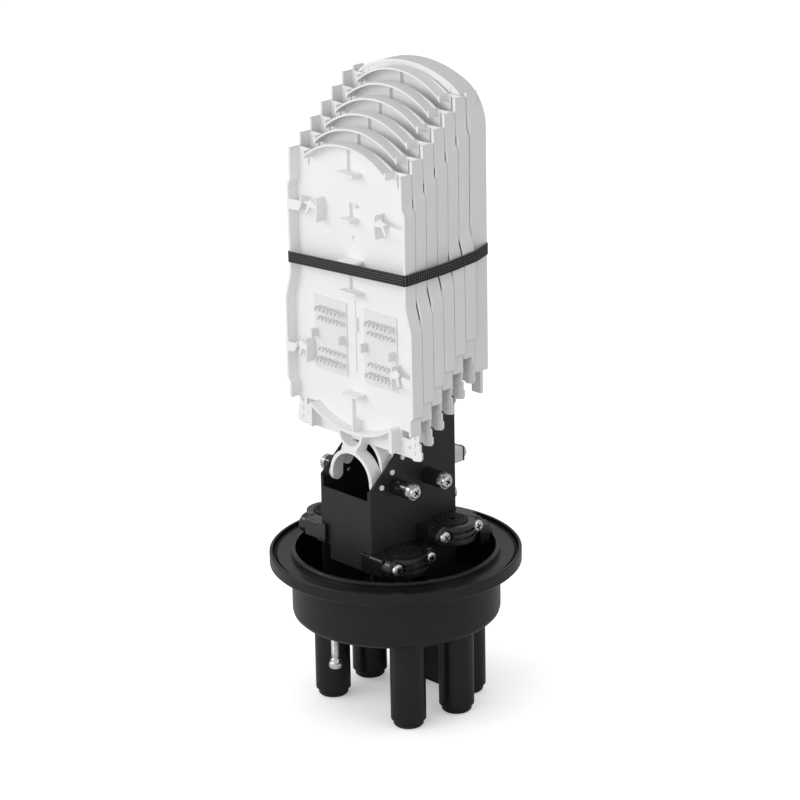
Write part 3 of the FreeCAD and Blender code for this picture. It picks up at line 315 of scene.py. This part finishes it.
def pan_screw(length):
    """A pan head screw along Z with its head above the seat at zero."""
    whole = spun([(0, -length), (SHANK_R - 0.0005, -length), (SHANK_R, -length + 0.0005), (SHANK_R, 0),
                  (HEAD_R - 0.0003, 0), (HEAD_R, 0.0003), (HEAD_R, HEAD_H * 0.52),
                  (HEAD_R * 0.975, HEAD_H * 0.70), (HEAD_R * 0.91, HEAD_H * 0.86),
                  (HEAD_R * 0.80, HEAD_H * 0.95), (HEAD_R * 0.5, HEAD_H * 0.99), (0, HEAD_H)], 36)
    obj = bpy.data.objects.new("blank", kept(whole, "blank"))
    bpy.context.collection.objects.link(obj)
    blades = [recess_blade(0), recess_blade(90)]
    for blade in blades:
        bpy.context.collection.objects.link(blade)
        cut = obj.modifiers.new("recess", "BOOLEAN")
        cut.operation, cut.solver, cut.object = "DIFFERENCE", "EXACT", blade
    bpy.context.view_layer.update()
    data = bpy.data.meshes.new_from_object(obj.evaluated_get(bpy.context.evaluated_depsgraph_get()))
    for spare in [obj] + blades:
        bpy.data.objects.remove(spare)
    # Faces sunk in the recess take the second material, the painted shade.
    for face in data.polygons:
        across, over = sorted((abs(face.center.x), abs(face.center.y)))
        sunk = HEAD_H - RECESS_DEEP * 1.01 < face.center.z < HEAD_H * 0.9
        face.material_index = int(sunk and across < RECESS_WIDE * 0.51 and over < RECESS_LONG * 0.51)
    return data


def screw_set(node, length, outwards, seats):
    """Screws of one kind; each seat is x, y, z in millimetres and the turn of its recess."""
    blank = pan_screw(length)
    pairs = []
    for x, y, z, turn in seats:
        way = Vector(outwards) if outwards != "side" else Vector((math.copysign(1, x), 0, 0))
        stand = way.to_track_quat("Z", "Y").to_matrix().to_4x4()
        pairs.append((blank, Matrix.Translation(Vector((x, y, z)) / 1000) @ stand
                      @ Matrix.Rotation(math.radians(turn), 4, "Z")))
    obj = piece(gather(pairs), node + "_cross_recess", plated, "base")
    # The second slot holds the recess's painted shade.
    obj.data.materials.append(painted_recess_shade)
    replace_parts(obj, node)


screw_set("clamp_screws", 0.018, "side", [
    (CLAMP_SEAT_X, -50.7, CLAMP_LOW, 20), (CLAMP_SEAT_X, -13.7, CLAMP_LOW, 62),
    (CLAMP_SEAT_X, 3.5, CLAMP_HIGH, 34), (CLAMP_SEAT_X, 40.5, CLAMP_HIGH, 12),
    (-CLAMP_SEAT_X, -50.7, CLAMP_HIGH, 40), (-CLAMP_SEAT_X, -13.7, CLAMP_HIGH, 5),
    (-CLAMP_SEAT_X, 3.5, CLAMP_LOW, 25), (-CLAMP_SEAT_X, 40.5, CLAMP_LOW, 70)])
screw_set("oval_clamp_screws", 0.0135, (0, 1, 0), [(42, OVAL_Y, CLAMP_LOW, 30), (-42, OVAL_Y, CLAMP_LOW, 65)])
screw_set("post_screws", 0.0285, "side", [
    (POST_SEAT_X, POST_Y[0], POST_Z, 42), (POST_SEAT_X, POST_Y[1], POST_Z, 55),
    (-POST_SEAT_X, POST_Y[0], POST_Z, 50), (-POST_SEAT_X, POST_Y[1], POST_Z, 15)])
screw_set("bracket_foot_screws", 0.009, (0, 0, 1), [
    (22, -41, 93.5, 10), (-22, -41, 93.5, 55), (22, 27, 93.5, 75), (-22, 27, 93.5, 30)])
screw_set("rear_panel_screws", 0.006, (0, 1, 0), [
    (24, PANEL_Y, 180, 18), (24, PANEL_Y, 262, 48), (-24, PANEL_Y, 180, 80), (-24, PANEL_Y, 262, 8)])
screw_set("basket_screws", 0.0045, (0, 1, 0), [(9, PANEL_Y, 257, 35), (-9, PANEL_Y, 257, 4)])
screw_set("anchor_screws", 0.0142, (0, 1, 0), [(22, ANCHOR_Y, 212, 22), (-22, ANCHOR_Y, 212, 66)])


# The splice trays, their comb holders and the storage basket are moulded in white plastic with a matte
# skin. Each tray stands on an arch foot with a stub on each side that turns in the bracket.
wear([n for n in nodes if n.startswith(("splice_tray", "storage_basket"))],
     skin("white_moulding", (0.90, 0.90, 0.90), 0.48, spread=0.008, scale=700.0, bump=0.03, round_edge=0.0004,
          specular=0.30))
wear([n for n in nodes if n.startswith("splice_holder")],
     skin("comb_moulding", (0.82, 0.82, 0.82), 0.50, spread=0.008, scale=700.0, bump=0.02, specular=0.25))


# A lip stiffens the mouth of the basket inside its rim. It follows the basket's arched top and closes
# the slot that would show behind the last tray.
RIM_ARCS = (((-0.0690, 0.4980), (-0.0640, 0.5190), (-0.0500, 0.5325)),
            ((-0.0500, 0.5325), (0, 0.5438), (0.0500, 0.5325)),
            ((0.0500, 0.5325), (0.0640, 0.5190), (0.0690, 0.4980)))
LIP_CENTRE, LIP_SHARE = Vector((0, 0.430)), 0.8444
LIP_Y, LIP_THICK = 0.0242, 0.0012


def arc_points(start, middle, end, steps):
    """Points on the circle through three (x, z) places."""
    a, b, c = Vector(start), Vector(middle), Vector(end)
    u, v = b - a, c - a
    to_centre = Vector((v.y, -v.x)) * u.length_squared + Vector((-u.y, u.x)) * v.length_squared
    centre = a + to_centre / (2 * u.cross(v))
    first = math.atan2(*(a - centre).yx)
    sweep = (math.atan2(*(c - centre).yx) - first + math.pi) % math.tau - math.pi
    radius = (a - centre).length
    turns = [first + sweep * i / steps for i in range(steps + 1)]
    return [centre + radius * Vector((math.cos(t), math.sin(t))) for t in turns]


rim_line = [p for arc in RIM_ARCS for p in arc_points(*arc, 12)[:-1]] + [Vector(RIM_ARCS[-1][2])]
lip = bmesh.new()
for near, far in zip(rim_line, rim_line[1:]):
    inward = [LIP_CENTRE + (p - LIP_CENTRE) * LIP_SHARE for p in (near, far)]
    lip.faces.new([lip.verts.new((p.x, LIP_Y, p.y)) for p in (near, far, inward[1], inward[0])])
bmesh.ops.remove_doubles(lip, verts=lip.verts, dist=1e-6)
lip_back = bmesh.ops.extrude_face_region(lip, geom=lip.faces[:])["geom"]
lip_back = [g for g in lip_back if isinstance(g, bmesh.types.BMVert)]
bmesh.ops.translate(lip, verts=lip_back, vec=(0, LIP_THICK, 0))
bmesh.ops.recalc_face_normals(lip, faces=lip.faces)
piece(lip, "basket_rim_lip", bpy.data.materials["white_moulding"], "base")


# A woven black strap goes round the six trays and the basket and holds the stack shut. It is a flat
# webbing drawn tight, a little narrower than it lies flat, with its free end lapped over itself behind.
FLAT_WIDE, STRAP_WIDE, STRAP_THICK = 0.0100, 0.0093, 0.0011
STRAP_TURNS = ((0.0687, -0.0486), (0.0747, -0.0130), (0.0755, 0.0), (0.0755, 0.0236), (0.0705, 0.0407))
LAP_FROM, LAP_TO, LAP_TUCK = 0.021, -0.024, 0.004
RISE_X, RISE_Y, STRAP_Z, STRAP_MID_Y = 0.059, 0.087, 0.3929, -0.004
STRAP_SLOPE = Matrix(((1, 0, 0, 0), (0, 1, 0, 0), (RISE_X, RISE_Y, 1, STRAP_Z - RISE_Y * STRAP_MID_Y),
                      (0, 0, 0, 1)))
FOLD_R, UPRIGHT = 0.0022, 0.001
WEAVE_PITCH = 0.0021


def webbing_group():
    """A slanting weave on a UV map in metres: threads over and under each other, with low ribs one way."""
    group = bpy.data.node_groups.new("webbing", "ShaderNodeTree")
    group.interface.new_socket(name="Vector", in_out="INPUT", socket_type="NodeSocketVector")
    pitch = group.interface.new_socket(name="Pitch", in_out="INPUT", socket_type="NodeSocketFloat")
    pitch.default_value = WEAVE_PITCH
    group.interface.new_socket(name="Height", in_out="OUTPUT", socket_type="NodeSocketFloat")
    n, link = group.nodes, group.links.new
    inp, out = n.new("NodeGroupInput"), n.new("NodeGroupOutput")

    def math_node(kind, first, second=None):
        made = n.new("ShaderNodeMath")
        made.operation = kind
        for slot_no, value in enumerate((first, second)):
            if value is None:
                continue
            if isinstance(value, (int, float)):
                made.inputs[slot_no].default_value = value
            else:
                link(value, made.inputs[slot_no])
        return made.outputs[0]

    split = n.new("ShaderNodeSeparateXYZ")
    link(inp.outputs["Vector"], split.inputs[0])
    steep = math_node("ADD", split.outputs["X"], split.outputs["Y"])
    shallow = math_node("SUBTRACT", split.outputs["X"], split.outputs["Y"])
    along = math_node("DIVIDE", steep, inp.outputs["Pitch"])
    over = math_node("DIVIDE", shallow, inp.outputs["Pitch"])
    warp = math_node("SINE", math_node("MULTIPLY", along, math.pi))
    weft = math_node("SINE", math_node("MULTIPLY", over, math.pi))
    cross = math_node("MULTIPLY", warp, weft)
    ribs = math_node("ABSOLUTE", weft)
    blend = math_node("ADD", math_node("MULTIPLY", cross, 0.35), math_node("MULTIPLY", ribs, 0.4))
    link(math_node("ADD", blend, 0.25), out.inputs["Height"])
    return group


def webbing_material():
    """Black webbing: the weave with a little fuzz drives both its colour and its relief."""
    mat = bpy.data.materials.new("strap_webbing")
    mat.use_nodes = True
    n, link = mat.node_tree.nodes, mat.node_tree.links.new
    shader = n["Principled BSDF"]
    shader.inputs["Specular IOR Level"].default_value = 0.3
    shader.inputs["Roughness"].default_value = 0.52
    flat = n.new("ShaderNodeUVMap")
    flat.uv_map = "weave"
    weave = n.new("ShaderNodeGroup")
    weave.node_tree = webbing_group()
    link(flat.outputs["UV"], weave.inputs["Vector"])
    fuzz = n.new("ShaderNodeTexNoise")
    fuzz.inputs["Scale"].default_value = 1400.0
    place = n.new("ShaderNodeTexCoord")
    link(place.outputs["Object"], fuzz.inputs["Vector"])
    blend = n.new("ShaderNodeMix")
    blend.inputs["Factor"].default_value = 0.35
    link(weave.outputs["Height"], blend.inputs["A"])
    link(fuzz.outputs["Fac"], blend.inputs["B"])
    ramp = n.new("ShaderNodeValToRGB")
    ramp.color_ramp.elements[0].position = 0.48
    ramp.color_ramp.elements[0].color = (0.004, 0.004, 0.004, 1)
    ramp.color_ramp.elements[1].position = 0.68
    ramp.color_ramp.elements[1].color = (0.11, 0.11, 0.112, 1)
    link(blend.outputs["Result"], ramp.inputs["Fac"])
    link(ramp.outputs["Color"], shader.inputs["Base Color"])
    lift = n.new("ShaderNodeBump")
    lift.inputs["Strength"].default_value = 0.7
    lift.inputs["Distance"].default_value = 0.0003
    link(blend.outputs["Result"], lift.inputs["Height"])
    link(lift.outputs["Normal"], shader.inputs["Normal"])
    return mat


def upright(edge):
    """Whether an edge stands across the band's width."""
    return abs(edge.verts[0].co.z - edge.verts[1].co.z) > UPRIGHT


def band(points, closed):
    """Upright band along the given (x, y) turns, its corners rounded."""
    mesh = bmesh.new()
    line = [mesh.verts.new((x, y, -STRAP_WIDE / 2)) for x, y in points]
    pairs = list(zip(line, line[1:])) + ([(line[-1], line[0])] if closed else [])
    rim = [mesh.edges.new(pair) for pair in pairs]
    raised = bmesh.ops.extrude_edge_only(mesh, edges=rim)["geom"]
    raised = [g for g in raised if isinstance(g, bmesh.types.BMVert)]
    bmesh.ops.translate(mesh, verts=raised, vec=(0, 0, STRAP_WIDE))
    folds = [e for e in mesh.edges if upright(e) and len(e.link_faces) == 2]
    bmesh.ops.bevel(mesh, geom=folds, offset=FOLD_R, segments=5, affect="EDGES", profile=0.5, material=-1)
    bmesh.ops.recalc_face_normals(mesh, faces=mesh.faces)
    return mesh


def map_along(mesh):
    """UV in metres, length along the band and height across it; gives the band's length."""
    uv = mesh.loops.layers.uv.new("weave")
    mesh.faces.ensure_lookup_table()
    ends = [f for f in mesh.faces if any(upright(e) and len(e.link_faces) == 1 for e in f.edges)]
    face = ends[0] if ends else mesh.faces[0]
    went, seen, entry = 0.0, set(), None
    while face is not None and face not in seen:
        seen.add(face)
        posts = [e for e in face.edges if upright(e)]
        if entry is None:
            entry = next((e for e in posts if len(e.link_faces) == 1), posts[0])
        leave = next(e for e in posts if e is not entry)
        wide = (leave.verts[0].co.xy - entry.verts[0].co.xy).length
        for loop in face.loops:
            near = loop.vert in entry.verts
            loop[uv].uv = (went if near else went + wide, loop.vert.co.z)
        went += wide
        face = next((f for f in leave.link_faces if f is not face), None)
        entry = leave
    return went


loop_points = list(STRAP_TURNS) + [(-x, y) for x, y in reversed(STRAP_TURNS)]
belt = band(loop_points, True)
belt_long = map_along(belt)
lap_y = STRAP_TURNS[-1][1] + STRAP_THICK + 0.0001
lap = band([(LAP_FROM, lap_y), (LAP_TO + LAP_TUCK, lap_y), (LAP_TO, lap_y - STRAP_THICK * 0.7)], False)
lap_long = map_along(lap)
for mesh in (belt, lap):
    bmesh.ops.transform(mesh, matrix=STRAP_SLOPE, verts=mesh.verts)
if sum(f.normal.y * f.calc_area() for f in lap.faces) < 0:
    bmesh.ops.reverse_faces(lap, faces=lap.faces)
strap = piece(gather([(kept(belt, "belt"), Matrix()), (kept(lap, "lap"), Matrix())]), "woven_tray_strap",
              webbing_material(), "base", sharp=60)
wall = strap.modifiers.new("thickness", "SOLIDIFY")
wall.thickness, wall.offset = STRAP_THICK, 1.0
soft = strap.modifiers.new("selvedge", "BEVEL")
soft.width, soft.segments, soft.limit_method, soft.angle_limit = 0.0003, 2, "ANGLE", math.radians(50)
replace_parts(strap, "tray_strap")
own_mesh(strap)


# Studio: a pale floor, even white surroundings and soft lamps. The floor glows to the camera up to white,
# dimmed under the object as a painted contact shadow; the broad fill lamp leaves no glare on glossy parts.
FLOOR_SHADE, FLOOR_GLOW = 0.74, 0.74
CONTACT_REACH, PAINTED_CONTACT_SHADOW = 0.15, 0.38
WORLD_FILL, WORLD_GLOSS = 0.43, 0.50


def studio_floor():
    """A matte floor that glows to the camera alone, with painted shadow dimming the glow where the object
    stands close over it.
    """
    mesh = bmesh.new()
    bmesh.ops.create_grid(mesh, x_segments=1, y_segments=1, size=8.0)
    floor = bpy.data.objects.new("floor", kept(mesh, "floor"))
    bpy.context.collection.objects.link(floor)
    floor.location.z = -0.0005
    mat = bpy.data.materials.new("floor_white")
    mat.use_nodes = True
    n, link = mat.node_tree.nodes, mat.node_tree.links.new
    n.remove(n["Principled BSDF"])
    matte = n.new("ShaderNodeBsdfDiffuse")
    matte.inputs["Color"].default_value = (FLOOR_SHADE, FLOOR_SHADE, FLOOR_SHADE, 1)
    glow = n.new("ShaderNodeEmission")
    path = n.new("ShaderNodeLightPath")
    gain = n.new("ShaderNodeMath")
    gain.operation = "MULTIPLY"
    # Ambient occlusion lowers the camera glow near the object: a painted contact shadow.
    near = n.new("ShaderNodeAmbientOcclusion")
    near.samples = 16
    near.inputs["Distance"].default_value = CONTACT_REACH
    soft = n.new("ShaderNodeMapRange")
    soft.inputs["From Max"].default_value = 0.9
    soft.inputs["To Min"].default_value = FLOOR_GLOW * PAINTED_CONTACT_SHADOW
    soft.inputs["To Max"].default_value = FLOOR_GLOW
    link(near.outputs["AO"], soft.inputs["Value"])
    link(soft.outputs["Result"], gain.inputs[1])
    link(path.outputs["Is Camera Ray"], gain.inputs[0])
    link(gain.outputs[0], glow.inputs["Strength"])
    both = n.new("ShaderNodeAddShader")
    link(matte.outputs[0], both.inputs[0])
    link(glow.outputs[0], both.inputs[1])
    link(both.outputs[0], n["Material Output"].inputs["Surface"])
    floor.data.materials.append(mat)


studio_floor()

world = bpy.data.worlds.new("studio")
bpy.context.scene.world = world
world.use_nodes = True
wn, wlink = world.node_tree.nodes, world.node_tree.links.new
around = wn["Background"]
around.inputs["Color"].default_value = (1, 1, 1, 1)
ray = wn.new("ShaderNodeLightPath")
seen_by = wn.new("ShaderNodeMapRange")
seen_by.inputs["To Min"].default_value = WORLD_FILL
seen_by.inputs["To Max"].default_value = 1.0
mirror = wn.new("ShaderNodeMapRange")
mirror.inputs["To Min"].default_value = 0.0
mirror.inputs["To Max"].default_value = WORLD_GLOSS - WORLD_FILL
total = wn.new("ShaderNodeMath")
total.operation = "ADD"
wlink(ray.outputs["Is Camera Ray"], seen_by.inputs["Value"])
wlink(ray.outputs["Is Glossy Ray"], mirror.inputs["Value"])
wlink(seen_by.outputs["Result"], total.inputs[0])
wlink(mirror.outputs["Result"], total.inputs[1])
wlink(total.outputs[0], around.inputs["Strength"])


def lamp(name, place, aim, size, power):
    """A round area lamp turned to a point."""
    data = bpy.data.lights.new(name, "AREA")
    data.shape = "DISK"
    data.size = size
    data.energy = power
    obj = bpy.data.objects.new(name, data)
    bpy.context.collection.objects.link(obj)
    obj.location = place
    obj.rotation_euler = (Vector(aim) - Vector(place)).to_track_quat("-Z", "Y").to_euler()
    return obj


lamp("key", (-0.95, -2.45, 1.35), (0, 0, 0.3), 1.6, 20)
lamp("front_fill", (0.9, -2.5, 1.1), (0, 0, 0.3), 3.2, 26).visible_glossy = False
lamp("side", (2.5, 0.76, 0.9), (0, 0, 0.25), 0.9, 5)
lamp("streak", (-1.9, -1.4, 1.7), (0, 0, 0.2), 0.6, 5)


# The camera stands at the photograph's angle: 46.8 degrees round from the tray fronts and 20.6 degrees
# up, with a long lens and a slight roll. The shift places the object in the picture.
AROUND, UP, ROLL = math.radians(46.83), math.radians(20.61), math.radians(1.09)
DISTANCE, LENS, SENSOR, FAR = 2.8889, 157.5, 36.0, 50
SHIFT_X, SHIFT_Y = 0.0072, 0.0936

aim = Vector((0, 0, 0.2))
away = Vector((math.sin(AROUND) * math.cos(UP), -math.cos(AROUND) * math.cos(UP), math.sin(UP)))
right = Vector((math.cos(AROUND), math.sin(AROUND), 0))
top = away.cross(right)
right, top = math.cos(ROLL) * right - math.sin(ROLL) * top, math.sin(ROLL) * right + math.cos(ROLL) * top
lens = bpy.data.cameras.new("camera")
lens.lens = LENS
lens.sensor_width = SENSOR
lens.shift_x = SHIFT_X
lens.shift_y = SHIFT_Y
lens.clip_end = FAR
camera = bpy.data.objects.new("camera", lens)
bpy.context.collection.objects.link(camera)
stance = Matrix((right, top, away)).transposed().to_4x4()
camera.matrix_world = Matrix.Translation(aim + away * DISTANCE) @ stance
bpy.context.scene.camera = camera

bpy.context.scene.view_settings.view_transform = "Standard"
